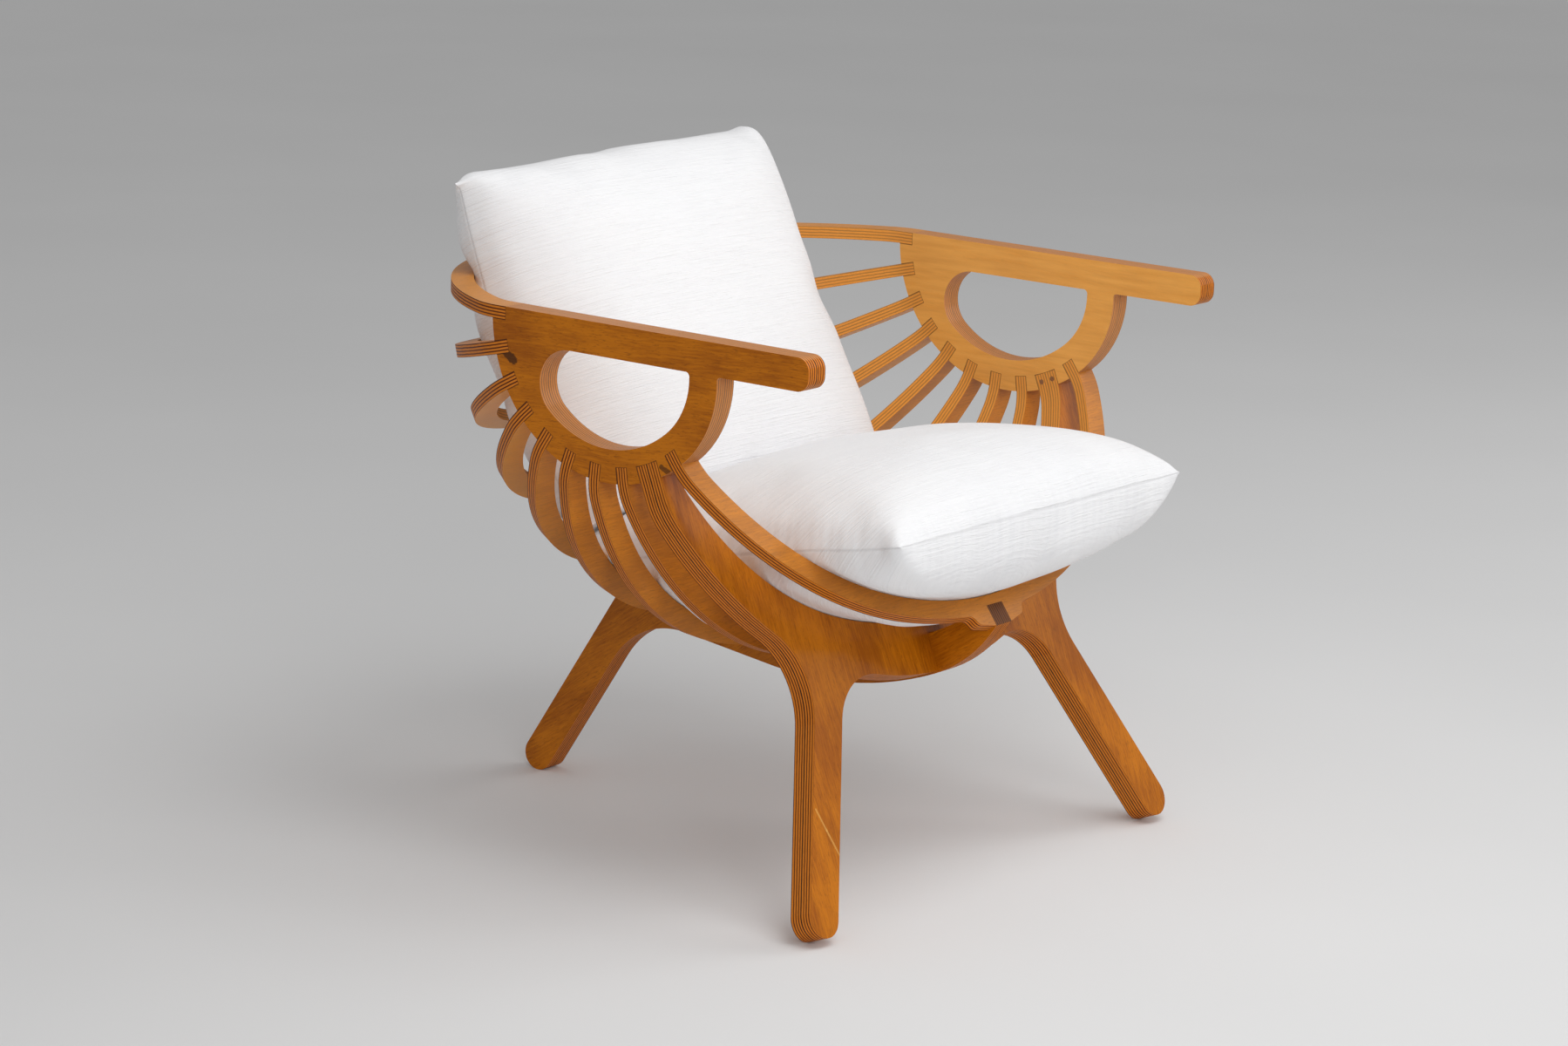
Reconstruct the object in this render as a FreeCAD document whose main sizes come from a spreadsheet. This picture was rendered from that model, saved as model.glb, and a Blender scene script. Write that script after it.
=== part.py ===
import FreeCAD
import Part
import math
import os
import Sketcher

# Lounge chair of bent-looking flat plywood hoops that fan out about one axis across the chair
# Units are millimetres and degrees, the chair faces -Y, +Z is up and the floor is z = 0
# Fan coordinates: y and z from the fan axis, angle measured from straight back, turning down and forward
# A hoop lies in a plane through the fan axis, and its sketch has x across the chair and y out from the axis

V = FreeCAD.Vector

doc = FreeCAD.newDocument("LoungeChair")
sheet = doc.addObject("Spreadsheet::Sheet", "Dims")

# Driving sizes
SIZES = [
    ("axis_height", 622.0),
    ("axis_setback", -65.6),
    ("half_width", 375.0),
    ("panel_thick", 28.0),
    ("rib_thick", 14.0),
    ("double_thick", 28.0),
    ("fan_step", 14.0),
    ("rib_count", 7.0),
    ("slot_inner", 142.5),
    ("slot_fit", 0.05),
    # hoop outline, outer edge
    ("hoop_straight", 155.0),
    ("hoop_bend", 74.0),
    ("hoop_bend_turn", 25.0),
    ("hoop_spread", 16.2),
    ("hoop_depth", 401.0),
    # hoop outline, inner edge
    ("bowl_bend", 63.0),
    ("bowl_bend_turn", 26.0),
    ("bowl_spread", 18.9),
    ("rib_middle", 20.0),
    # raised middle of the first and last hoop, where the spine ends
    ("boss_half", 43.0),
    ("boss_step", 9.0),
    ("boss_radius", 9.5),
    ("boss_tall", 24.0),
    # leg frame
    ("leg_angle", 112.0),
    ("leg_straight", 180.0),
    ("leg_bend_turn", 26.0),
    ("leg_shoulder", 415.0),
    ("leg_waist", 85.0),
    ("leg_splay", 25.5),
    ("leg_half", 21.7),
    ("leg_foot_inset", 65.0),
    ("leg_bowl_rise", 6.0),
    ("leg_arch_inset", 2.0),
    ("leg_crotch", 66.0),
    ("lap_tall", 21.0),
    # spine with the rear leg
    ("spine_thick", 28.0),
    ("rib_seat", 9.0),
    ("spine_deep", 44.0),
    ("spine_nose_angle", 113.0),
    ("spine_heel_angle", 83.0),
    ("rear_slope_angle", 57.0),
    ("rear_front_edge", -16.5),
    ("rear_back_edge", 22.0),
    ("rear_knee", 110.0),
    ("rear_back_blend", 30.0),
    # side panel
    ("panel_outer", 160.0),
    ("hole_outer", 124.0),
    ("arm_top", 7.0),
    ("arm_under", 28.0),
    ("arm_front", 259.0),
    ("arm_corner", 14.0),
    ("web_y", -29.0),
    ("web_z", -35.7),
    ("web_corner", 4.0),
    ("hole_rear_corner", 38.0),
    ("hole_front_corner", 5.0),
    # pins in the ends of the leg frame
    ("pin_radius", 3.0),
    ("pin_depth", 12.0),
    ("pin_reach", 151.5),
    ("pin_spread", 7.7),
    # cushions
    ("cushion_gap", 0.5),
    ("cloth_thick", 1.5),
    ("pad_gap", 0.3),
    ("cushion_side_room", 83),
]
for row, (alias, value) in enumerate(SIZES, 1):
    sheet.set("A%d" % row, alias)
    sheet.set("B%d" % row, str(value))
    sheet.setAlias("B%d" % row, alias)
doc.recompute()


class Dims:
    """Reads a size from the sheet by its alias."""

    def __getattr__(self, alias):
        return float(getattr(sheet, alias))


d = Dims()


def turned(angle):
    return math.cos(math.radians(angle)), math.sin(math.radians(angle))


def polar(centre, radius, angle):
    c, s = turned(angle)
    return centre[0] + radius * c, centre[1] + radius * s


def bearing(centre, point):
    return math.degrees(math.atan2(point[1] - centre[1], point[0] - centre[0]))


class Outline:
    """A closed outline of lines and arcs, drawn into a sketch with its sizes bound to the sheet."""

    def __init__(self, start):
        self.start = start
        self.here = start
        self.edges = []
        self.depths = []

    def line(self, end, size=None):
        self.edges.append(("line", self.here, None, end, size))
        self.here = end
        return self

    def arc(self, middle, end, size=None):
        self.edges.append(("arc", self.here, middle, end, size))
        self.here = end
        return self

    def about(self, centre, radius, start, end, size=None):
        """An arc about a centre from one bearing to another, joined to where the outline is."""
        first = polar(centre, radius, start)
        if math.dist(first, self.here) > 1e-6:
            self.line(first)
        return self.arc(polar(centre, radius, (start + end) / 2), polar(centre, radius, end), size)

    def depth(self, size):
        """Binds how far the point that the outline has reached lies from the fan axis."""
        self.depths.append((self.here, size))
        return self

    def close(self):
        if math.dist(self.here, self.start) > 1e-6:
            self.line(self.start)
        return self

    def mirrored(self):
        """Adds the mirror image in the y axis and closes, for an outline drawn from axis to axis."""
        for kind, first, middle, end, size in reversed(list(self.edges)):
            flip = (-first[0], first[1])
            if kind == "line":
                self.line(flip, size)
            else:
                self.arc((-middle[0], middle[1]), flip, size)
        return self.close()

    def draw(self, sketch):
        ids = []
        for kind, first, middle, end, size in self.edges:
            if kind == "line":
                shape = Part.LineSegment(V(*first, 0), V(*end, 0))
            else:
                shape = Part.Arc(V(*first, 0), V(*middle, 0), V(*end, 0))
            ids.append(sketch.addGeometry(shape, False))
        count = len(ids)
        for i in range(count):
            join_ends(sketch, ids[i], ids[(i + 1) % count], self.edges[i][3])
        for i, (kind, first, middle, end, size) in zip(ids, self.edges):
            if kind == "line" and abs(first[0] - end[0]) < 1e-6:
                sketch.addConstraint(Sketcher.Constraint("Vertical", i))
            elif kind == "line" and abs(first[1] - end[1]) < 1e-6:
                sketch.addConstraint(Sketcher.Constraint("Horizontal", i))
            if size is None:
                continue
            if kind == "line":
                value = math.dist(first, end)
                bind(sketch, Sketcher.Constraint("Distance", i, value), size)
            else:
                value = sketch.Geometry[i].Radius
                bind(sketch, Sketcher.Constraint("Radius", i, value), size)
        for point, size in self.depths:
            i = [k for k, edge in enumerate(self.edges) if math.dist(edge[1], point) < 1e-6][0]
            end = near_end(sketch, ids[i], point)
            bind(sketch, Sketcher.Constraint("DistanceY", -1, 1, ids[i], end, point[1]), size)
        return ids


def bind(sketch, constraint, size):
    """Adds a size constraint and ties it to an expression of the sheet's cells."""
    index = sketch.addConstraint(constraint)
    sketch.setExpression("Constraints[%d]" % index, size)


def near_end(sketch, edge, point):
    """Which end of an edge, 1 or 2, lies on the given point."""
    return min((1, 2), key=lambda end: sketch.getPoint(edge, end).distanceToPoint(V(*point, 0)))


def join_ends(sketch, a, b, point):
    """Joins the ends of two edges that lie on the given point."""
    ends = [near_end(sketch, edge, point) for edge in (a, b)]
    sketch.addConstraint(Sketcher.Constraint("Coincident", a, ends[0], b, ends[1]))


def part_body(label):
    """A body whose origin is the fan axis at the chair's middle."""
    body = doc.addObject("PartDesign::Body", label)
    body.Label = label
    body.Placement = FreeCAD.Placement(V(0, d.axis_setback, d.axis_height), FreeCAD.Rotation())
    body.setExpression("Placement.Base.y", "Dims.axis_setback")
    body.setExpression("Placement.Base.z", "Dims.axis_height")
    return body


def hoop_body(label, steps):
    """A body in the plane of a hoop, turned down from straight back by a number of fan steps."""
    body = part_body(label)
    body.Placement.Rotation = FreeCAD.Rotation(V(1, 0, 0), -d.fan_step * steps)
    return body


def origin_of(body, role):
    return [f for f in body.Origin.OriginFeatures if f.Role == role][0]


def sketch_on(body, role, name, outline=None, turn=None, lift=0.0, at=V()):
    """A sketch on one of its own body's origin planes, turned and moved to a place or lifted off."""
    sketch = body.newObject("Sketcher::SketchObject", name)
    sketch.AttachmentSupport = [(origin_of(body, role), "")]
    sketch.MapMode = "FlatFace"
    turn = turn or FreeCAD.Rotation()
    sketch.AttachmentOffset = FreeCAD.Placement(at + turn.multVec(V(0, 0, lift)), turn)
    if outline:
        outline.draw(sketch)
    return sketch


def both_ways(feature, length):
    """Gives a pad or pocket a length centred on its sketch."""
    if hasattr(feature, "SideType"):
        feature.SideType = "Symmetric"
    else:
        feature.Midplane = True
    feature.setExpression("Length", length)


def pad(body, sketch, length):
    feature = body.newObject("PartDesign::Pad", "Pad")
    feature.Profile = sketch
    both_ways(feature, length)
    doc.recompute()
    return feature


def pocket(body, sketch, length, must_cut=True):
    """A pocket to both sides of its sketch, which takes something off where it must."""
    before = body.Shape.Volume
    feature = body.newObject("PartDesign::Pocket", "Pocket")
    feature.Profile = sketch
    both_ways(feature, length)
    doc.recompute()
    if must_cut and body.Shape.Volume > before - 1:
        raise RuntimeError("%s: a pocket cuts nothing" % body.Label)
    return feature


def notch(body, name, angle, near, far, width, through):
    """A pocket along a radius of the fan, at an angle from straight back."""
    across = "Dims.%s + 2 * Dims.slot_fit" % width
    half = getattr(d, width) / 2 + d.slot_fit
    box = Outline((near, -half))
    box.line((far, -half)).line((far, half), across).line((near, half)).close()
    turn = FreeCAD.Rotation(V(0, 0, 1), -angle)
    sketch = sketch_on(body, "YZ_Plane", name, box, turn)
    return pocket(body, sketch, through)


def fan_of(body, feature, count, must_cut=True):
    """Repeats a pocket round the fan, from its own hoop on, for a number of hoops."""
    before = body.Shape.Volume
    pattern = body.newObject("PartDesign::PolarPattern", "Fan")
    pattern.Originals = [feature]
    pattern.Axis = (origin_of(body, "X_Axis"), [""])
    pattern.Reversed = True
    pattern.setExpression("Occurrences", count)
    pattern.setExpression("Angle", "Dims.fan_step * (%s - 1)" % count)
    body.Tip = pattern
    doc.recompute()
    if must_cut and body.Shape.Volume > before - 1:
        raise RuntimeError("%s: the fan of pockets cuts nothing" % body.Label)


class HoopEdge:
    """One edge of a hoop: a straight end, a bend, a long side arc and a bottom arc, all tangent.

    The side and bottom arcs get the two radii with which they reach the given depth at the middle."""

    def __init__(self, half, bend, turn, spread, depth):
        straight = d.hoop_straight
        self.half = half
        self.bend = bend
        self.turn = turn
        self.depth = depth
        self.meet = 90 - spread
        c, s = turned(turn)
        low_c, low_s = turned(self.meet)
        reach = half - bend * (1 - c)
        drop = depth - straight - bend * s
        area = (c - low_c) * (1 - low_s) - low_c * (low_s - s)
        self.side = (reach * (1 - low_s) - low_c * drop) / area
        self.bottom = ((c - low_c) * drop - (low_s - s) * reach) / area
        self.bend_at = (half - bend, straight)
        self.side_at = (self.bend_at[0] + (bend - self.side) * c, straight + (bend - self.side) * s)
        self.bottom_at = (0.0, depth - self.bottom)

    def down(self, outline, bend_size):
        """Draws the right half from the end down to where the bottom arc starts."""
        outline.line((self.half, self.bend_at[1]))
        outline.about(self.bend_at, self.bend, 0, self.turn, bend_size)
        return outline.about(self.side_at, self.side, self.turn, self.meet)

    def up(self, outline, bend_size, depth_size):
        """Draws the right half from the middle of the bottom back up to the end."""
        outline.depth(depth_size)
        outline.about(self.bottom_at, self.bottom, 90, self.meet)
        outline.about(self.side_at, self.side, self.meet, self.turn)
        outline.about(self.bend_at, self.bend, self.turn, 0, bend_size)
        return outline.line((self.half, d.slot_inner))


# Sizes that follow from the sheet
inner_half = d.half_width - d.panel_thick
bowl_depth = d.hoop_depth - d.rib_middle
leg_bowl_depth = bowl_depth - d.leg_bowl_rise
spine_inner = d.hoop_depth - d.rib_seat
spine_outer = spine_inner + d.spine_deep
boss_depth = spine_inner + d.boss_tall
lap_depth = spine_inner + d.lap_tall
leg_arch = spine_outer - d.leg_arch_inset
BOWL = "Dims.hoop_depth - Dims.rib_middle"
LEG_BOWL = "Dims.hoop_depth - Dims.rib_middle - Dims.leg_bowl_rise"
BOSS = "Dims.hoop_depth - Dims.rib_seat + Dims.boss_tall"
SPINE_IN = "Dims.hoop_depth - Dims.rib_seat"
SPINE_OUT = "Dims.hoop_depth - Dims.rib_seat + Dims.spine_deep"
LEG_ARCH = "Dims.hoop_depth - Dims.rib_seat + Dims.spine_deep - Dims.leg_arch_inset"

outer_edge = HoopEdge(d.half_width, d.hoop_bend, d.hoop_bend_turn, d.hoop_spread, d.hoop_depth)
bowl_edge = HoopEdge(inner_half, d.bowl_bend, d.bowl_bend_turn, d.bowl_spread, bowl_depth)
leg_bowl_edge = HoopEdge(inner_half, d.bowl_bend, d.bowl_bend_turn, d.bowl_spread, leg_bowl_depth)


def half_hoop(edge, depth_size):
    """Starts a hoop's right half: from the middle of the bowl up to the end and across it."""
    outline = Outline((0.0, edge.depth))
    edge.up(outline, "Dims.bowl_bend", depth_size)
    return outline.line((d.half_width, d.slot_inner), "Dims.panel_thick")


# Ribs
# Seven equal hoops, each flush with both faces of the side panels and seated in the spine
def rib_outline():
    outline = half_hoop(bowl_edge, BOWL)
    outer_edge.down(outline, "Dims.hoop_bend")
    outline.about(outer_edge.bottom_at, outer_edge.bottom, outer_edge.meet, 90)
    outline.depth("Dims.hoop_depth")
    return outline.mirrored()


parts = []
for k in range(1, int(d.rib_count) + 1):
    rib = hoop_body("rib_%d" % k, k)
    pad(rib, sketch_on(rib, "XY_Plane", "RibOutline", rib_outline()), "Dims.rib_thick")
    parts.append(rib)


# Top rail and front rib
# The first and last hoops, with a raised middle that takes the end of the spine from outside
def end_hoop_outline():
    outline = half_hoop(bowl_edge, BOWL)
    outer_edge.down(outline, "Dims.hoop_bend")
    # the boss rises from the bottom arc by two small arcs of one radius, one hollow and one full
    step = d.boss_radius
    top = boss_depth - d.boss_step / 2
    full_at = (d.boss_half - step, top - step)
    reach = outer_edge.bottom + step
    hollow_y = full_at[1]
    for _ in range(40):
        hollow_x = full_at[0] + math.sqrt(4 * step ** 2 - (hollow_y - full_at[1]) ** 2)
        hollow_y = outer_edge.bottom_at[1] + math.sqrt(reach ** 2 - hollow_x ** 2)
    hollow_at = (hollow_x, hollow_y)
    start = bearing(outer_edge.bottom_at, hollow_at)
    outline.about(outer_edge.bottom_at, outer_edge.bottom, outer_edge.meet, start)
    toward = -180 + bearing(full_at, hollow_at)
    outline.about(hollow_at, step, start - 180, toward, "Dims.boss_radius")
    outline.about(full_at, step, toward + 180, 80, "Dims.boss_radius")
    outline.line((d.spine_thick / 2, boss_depth))
    outline.line((0.0, boss_depth))
    outline.depth(BOSS)
    return outline.mirrored()


def end_hoop(label, steps):
    body = hoop_body(label, steps)
    pad(body, sketch_on(body, "XY_Plane", "EndOutline", end_hoop_outline()), "Dims.rib_thick")
    half = d.spine_thick / 2 + d.slot_fit
    deep = boss_depth + d.boss_step
    cut = Outline((-half, spine_inner))
    cut.line((half, spine_inner), "Dims.spine_thick + 2 * Dims.slot_fit")
    cut.line((half, deep)).line((-half, deep)).close()
    pocket(body, sketch_on(body, "XY_Plane", "SpineEnd", cut), "2 * Dims.rib_thick")
    parts.append(body)
    return body


front_steps = d.rib_count + 2
end_hoop("top_rail", 0)
end_hoop("front_rib", front_steps)


# Leg frame
# A double hoop whose shoulders run out into the two front legs, with an arch between them
def leg_outline():
    along = turned(90 - d.leg_splay)
    away = (along[1], -along[0])
    down = math.sin(math.radians(d.leg_angle))
    lean = abs(math.cos(math.radians(d.leg_angle)))
    tip = (d.axis_height - d.double_thick / 2 * lean) / down
    foot_at = (d.half_width - d.leg_foot_inset, tip - d.leg_half)
    # the shoulder starts like a rib further out and turns back into the leg round the waist
    c, s = turned(d.leg_bend_turn)
    bend_at = (d.half_width - d.hoop_bend, d.leg_straight)
    back = d.hoop_bend - d.leg_shoulder
    shoulder_at = (bend_at[0] + back * c, bend_at[1] + back * s)
    offset = d.leg_half + d.leg_waist
    base = (foot_at[0] + away[0] * offset, foot_at[1] + away[1] * offset)
    waist_at = slide(base, along, shoulder_at, d.leg_shoulder + d.leg_waist)
    # the crotch joins the inner side of the leg to the arch under the bowl
    inset = d.leg_half + d.leg_crotch
    base = (foot_at[0] - away[0] * inset, foot_at[1] - away[1] * inset)
    crotch_at = slide(base, along, (0.0, 0.0), leg_arch + d.leg_crotch)
    outline = half_hoop(leg_bowl_edge, LEG_BOWL)
    outline.line((d.half_width, d.leg_straight))
    outline.about(bend_at, d.hoop_bend, 0, d.leg_bend_turn, "Dims.hoop_bend")
    turn_back = bearing(shoulder_at, waist_at)
    outline.about(shoulder_at, d.leg_shoulder, d.leg_bend_turn, turn_back, "Dims.leg_shoulder")
    side = bearing((0, 0), away)
    outline.about(waist_at, d.leg_waist, turn_back + 180, side + 180, "Dims.leg_waist")
    outline.about(foot_at, d.leg_half, side, side + 180, "Dims.leg_half")
    arch_end = bearing((0, 0), crotch_at)
    outline.about(crotch_at, d.leg_crotch, side, arch_end - 180, "Dims.leg_crotch")
    outline.about((0.0, 0.0), leg_arch, arch_end, 90, LEG_ARCH)
    return outline.mirrored()


def slide(base, along, centre, reach):
    """The upper point on a line at a set distance from a centre."""
    gap = (base[0] - centre[0], base[1] - centre[1])
    run = gap[0] * along[0] + gap[1] * along[1]
    rest = gap[0] ** 2 + gap[1] ** 2 - reach ** 2
    ways = [-run - math.sqrt(run ** 2 - rest), -run + math.sqrt(run ** 2 - rest)]
    points = [(base[0] + way * along[0], base[1] + way * along[1]) for way in ways]
    return [p for p in points if p[1] > 0 and p[0] > 0][0]


leg_steps = d.rib_count + 1
leg_frame = hoop_body("leg_frame", leg_steps)
pad(leg_frame, sketch_on(leg_frame, "XY_Plane", "LegOutline", leg_outline()), "Dims.double_thick")
half = d.spine_thick / 2 + d.slot_fit
lap = Outline((-half, lap_depth))
lap.line((half, lap_depth), "Dims.spine_thick + 2 * Dims.slot_fit")
lap.line((half, leg_arch + d.boss_step)).line((-half, leg_arch + d.boss_step)).close()
pocket(leg_frame, sketch_on(leg_frame, "XY_Plane", "SpineLap", lap), "2 * Dims.double_thick")
# blind holes for the pins, two at each end, bored from the inner side
holes = sketch_on(leg_frame, "YZ_Plane", "PinHoles")
for side in (-1, 1):
    spot = V(d.pin_reach, side * d.pin_spread, 0)
    hole = holes.addGeometry(Part.Circle(spot, V(0, 0, 1), d.pin_radius), False)
    bind(holes, Sketcher.Constraint("Radius", hole, d.pin_radius), "Dims.pin_radius")
pocket(leg_frame, holes, "2 * (Dims.half_width - Dims.panel_thick + Dims.pin_depth)")
parts.append(leg_frame)


# Pins
# Four round pins of the leg frame's ends, flush with its inner side
pins = []
for side in (-1, 1):
    for spread in (-1, 1):
        pin = doc.addObject("Part::Cylinder", "Pin")
        pin.setExpression("Radius", "Dims.pin_radius")
        pin.setExpression("Height", "Dims.pin_depth")
        place = V(side * inner_half, d.pin_reach, spread * d.pin_spread)
        pin.Placement = FreeCAD.Placement(place, FreeCAD.Rotation(V(0, side, 0), 90))
        pins.append(pin)
pin_set = doc.addObject("Part::MultiFuse", "leg_frame_pins")
pin_set.Label = "leg_frame_pins"
pin_set.Shapes = pins
pin_set.Placement = leg_frame.Placement
parts.append(pin_set)


# Spine and rear leg
# One board in the middle plane, hung on the ribs' outer edges, that leaves them for the rear leg
def spine_outline():
    inner = spine_inner
    outer = spine_outer
    face = d.rib_thick / 2
    front = d.fan_step * front_steps
    c, s = turned(-front)
    # both ends are cut flush with the outer face of the hoop that carries them
    front_low = math.sqrt(inner ** 2 - face ** 2)
    front_high = boss_depth
    front_in = (front_low * c + face * s, front_low * s - face * c)
    front_out = (front_high * c + face * s, front_high * s - face * c)
    top_in = (front_low, face)
    top_out = (front_high, face)
    nose = front - d.spine_nose_angle
    heel = polar((0, 0), outer, -d.spine_heel_angle)
    rise = 90 - d.spine_heel_angle
    # rear leg, a bar between two parallel edges with a round foot
    c, s = turned(-d.rear_slope_angle)
    normal = (-s, c)
    half = (d.rear_back_edge - d.rear_front_edge) / 2
    centre = (d.rear_back_edge + d.rear_front_edge) / 2
    foot_z = -d.axis_height + half
    foot_at = ((centre - foot_z * normal[1]) / normal[0], foot_z)
    # knee between the rising underside and the leg's front edge
    under = turned(rise)
    inward = (under[1], -under[0])
    knee = d.rear_knee
    want_leg = d.rear_front_edge - knee
    want_under = heel[0] * inward[0] + heel[1] * inward[1] + knee
    knee_at = cross(normal, want_leg, inward, want_under)
    # hollow blend between the leg's back edge and the spine's outer edge
    blend = d.rear_back_blend
    want_back = d.rear_back_edge + blend
    run = math.sqrt((outer + blend) ** 2 - want_back ** 2)
    blend_at = (normal[0] * want_back + c * run, normal[1] * want_back + s * run)
    outline = Outline(top_in)
    top_in_at = bearing((0, 0), top_in)
    front_in_at = bearing((0, 0), front_in)
    outline.about((0, 0), inner, top_in_at, front_in_at, SPINE_IN)
    outline.line(front_out)
    tangent_nose(outline, outer, -front + nose, front_out)
    outline.about((0, 0), outer, -front + nose, -d.spine_heel_angle, SPINE_OUT)
    up = bearing((0, 0), (-inward[0], -inward[1]))
    side = bearing((0, 0), normal)
    outline.about(knee_at, knee, up, side, "Dims.rear_knee")
    outline.about(foot_at, half, side - 180, side)
    blend_end = bearing((0, 0), blend_at)
    outline.about(blend_at, blend, side - 180, blend_end - 180, "Dims.rear_back_blend")
    outline.about((0, 0), outer, blend_end, -nose, SPINE_OUT)
    tangent_nose(outline, outer, -nose, top_out, ends=True)
    return outline.close()


def cross(normal_a, want_a, normal_b, want_b):
    """The point at set distances along two directions."""
    area = normal_a[0] * normal_b[1] - normal_a[1] * normal_b[0]
    y = (want_a * normal_b[1] - want_b * normal_a[1]) / area
    z = (want_b * normal_a[0] - want_a * normal_b[0]) / area
    return y, z


def tangent_nose(outline, radius, angle, point, ends=False):
    """The arc that leaves the spine's outer edge at an angle and comes in to an end's outer corner."""
    start = polar((0, 0), radius, angle)
    c, s = turned(angle)
    gap = (point[0] - start[0], point[1] - start[1])
    inward = -(gap[0] * c + gap[1] * s)
    nose = (gap[0] ** 2 + gap[1] ** 2) / (2 * inward)
    centre = (start[0] - nose * c, start[1] - nose * s)
    turn = bearing(centre, point) - angle
    turn = (turn + 180) % 360 - 180
    middle = polar(centre, nose, angle + turn / 2)
    if ends:
        outline.arc(middle, point)
    else:
        outline.arc(middle, start)


spine = part_body("spine_rear_leg")
pad(spine, sketch_on(spine, "YZ_Plane", "SpineOutline", spine_outline()), "Dims.spine_thick")
wide = "2 * Dims.spine_thick"
near = spine_inner - d.boss_step
first = notch(spine, "RibNotch", d.fan_step, near, d.hoop_depth, "rib_thick", wide)
fan_of(spine, first, "Dims.rib_count")
notch(spine, "LegLap", d.fan_step * leg_steps, near, lap_depth, "double_thick", wide)
parts.append(spine)


# Side panels
# Each is an arm and a D with a hand hole in one board, slotted for every hoop
def panel_outline():
    top = d.arm_top
    under = -d.arm_under
    web_at = (d.web_y, d.web_z)
    apart = math.hypot(*web_at)
    web = d.panel_outer - apart
    touch = bearing((0, 0), web_at)
    # small corner between the web and the underside of the arm
    corner = d.web_corner
    corner_z = under - corner
    corner_y = web_at[0] - math.sqrt((web + corner) ** 2 - (corner_z - web_at[1]) ** 2)
    corner_at = (corner_y, corner_z)
    round_by = d.arm_corner
    nose_y = -d.arm_front + round_by
    outline = Outline((nose_y, top))
    outline.line((d.slot_inner, top))
    outline.line((d.slot_inner, -d.rib_thick / 2 - d.slot_fit))
    low = -d.rib_thick / 2 - d.slot_fit
    rear = (math.sqrt(d.panel_outer ** 2 - low ** 2), low)
    outline.line(rear)
    rear_at = bearing((0, 0), rear)
    outline.about((0, 0), d.panel_outer, rear_at, touch, "Dims.panel_outer")
    web_end = bearing(web_at, corner_at)
    outline.about(web_at, web, touch, web_end - 360 if web_end > touch else web_end)
    start = bearing(corner_at, web_at)
    outline.about(corner_at, corner, start, 90, "Dims.web_corner")
    outline.about((nose_y, under + round_by), round_by, -90, -180, "Dims.arm_corner")
    outline.about((nose_y, top - round_by), round_by, 180, 90, "Dims.arm_corner")
    return outline.close()


def hole_outline():
    under = -d.arm_under
    web_at = (d.web_y, d.web_z)
    apart = math.hypot(*web_at)
    inner_web = d.hole_outer - apart
    touch = bearing((0, 0), web_at)
    rear = d.hole_rear_corner
    rear_z = under - rear
    rear_at = (math.sqrt((d.hole_outer - rear) ** 2 - rear_z ** 2), rear_z)
    front = d.hole_front_corner
    front_z = under - front
    front_y = web_at[0] - math.sqrt((inner_web - front) ** 2 - (front_z - web_at[1]) ** 2)
    front_at = (front_y, front_z)
    outline = Outline((front_at[0], under))
    outline.line((rear_at[0], under))
    rear_end = bearing((0, 0), rear_at)
    outline.about(rear_at, rear, 90, rear_end, "Dims.hole_rear_corner")
    outline.about((0, 0), d.hole_outer, rear_end, touch, "Dims.hole_outer")
    web_end = bearing(web_at, front_at)
    outline.about(web_at, inner_web, touch, web_end - 360 if web_end > touch else web_end)
    web_end = web_end if web_end < 0 else web_end - 360
    outline.about(front_at, front, web_end, -270, "Dims.hole_front_corner")
    return outline.close()


def side_panel(label, side):
    body = part_body(label)
    body.Placement.Base.x = side * (d.half_width - d.panel_thick / 2)
    body.setExpression("Placement.Base.x", "%d * (Dims.half_width - Dims.panel_thick / 2)" % side)
    pad(body, sketch_on(body, "YZ_Plane", "PanelOutline", panel_outline()), "Dims.panel_thick")
    wide = "2 * Dims.panel_thick"
    pocket(body, sketch_on(body, "YZ_Plane", "HandHole", hole_outline()), wide)
    far = d.panel_outer + d.boss_step
    first = notch(body, "RibSlot", d.fan_step, d.slot_inner, far, "rib_thick", wide)
    fan_of(body, first, "Dims.rib_count")
    leg_at = d.fan_step * leg_steps
    front_at = d.fan_step * front_steps
    notch(body, "LegSlot", leg_at, d.slot_inner, far, "double_thick", wide)
    notch(body, "FrontSlot", front_at, d.slot_inner, far, "rib_thick", wide)
    parts.append(body)


side_panel("side_panel_left", -1)
side_panel("side_panel_right", 1)


# Cushions
# Each has an arched side outline across the chair, thins toward its two sides like a pillow,
# and is trimmed where it lies in the bowl of hoops and where the two cushions press together
# Their places and sizes are shares of the bowl's depth, so they follow the bowl
PRESS_POINT = (0.105, -0.480)
PRESS_TILT = -38.3
CUSHIONS = {
    "seat": {
        "middle": (-0.190, -0.640), "tilt": -11.1, "half": 0.608, "bend": 0.0,
        "over": (0.150, 1.150, 0.155), "under": (0.205, 0.880, 0.205),
        "over_side": (0.226, 0.145), "under_side": (0.330, 0.170),
    },
    "back": {
        "middle": (0.566, -0.205), "tilt": -118.0, "half": 0.586, "bend": 0.066,
        "over": (0.145, 1.050, 0.145), "under": (0.210, 1.350, 0.195),
        "over_side": (0.266, 0.190), "under_side": (0.300, 0.150),
    },
}
BULGE = 16.0
CORNER_END = 0.03
cushion_half = inner_half - d.cushion_side_room


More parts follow.
